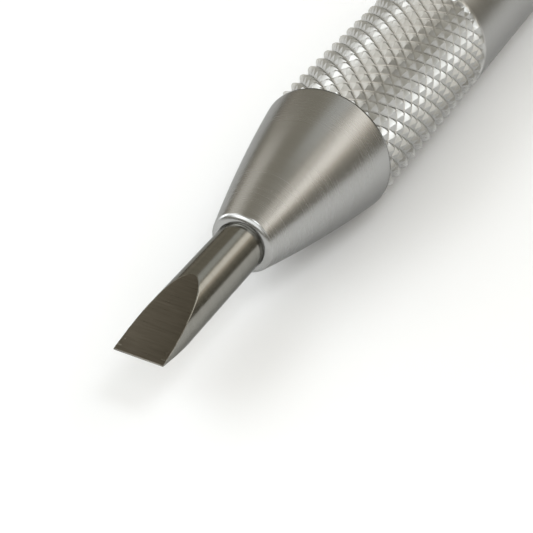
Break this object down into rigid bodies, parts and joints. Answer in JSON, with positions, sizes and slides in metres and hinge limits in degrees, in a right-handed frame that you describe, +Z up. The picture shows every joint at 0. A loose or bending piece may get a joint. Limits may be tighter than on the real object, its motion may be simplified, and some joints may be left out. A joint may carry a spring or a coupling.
{
  "type": "cuticle pusher",
  "caption": "Slim steel cuticle pusher with a hollow knurled handle, tapered noses, a straight ground chisel tip and a cupped spoon tip.",
  "frame": {"origin": "under the middle of the tool's length, on the surface that the barrel lies on", "axes": "+Y along the tool from the chisel end to the spoon end, +Z up out of the upper chisel flat's side, +X across"},
  "size_m": [0.008, 0.1292, 0.008],
  "materials": {
    "handle_steel": "satin, turned and knurled",
    "tip_steel": "polished pin with ground flats"
  },
  "bodies": {
    "root": {"handle_tube": "handle_steel", "front_nose": "handle_steel", "rear_nose": "handle_steel", "chisel_pin": "tip_steel", "pusher_spoon": "tip_steel"}
  },
  "joints": []
}
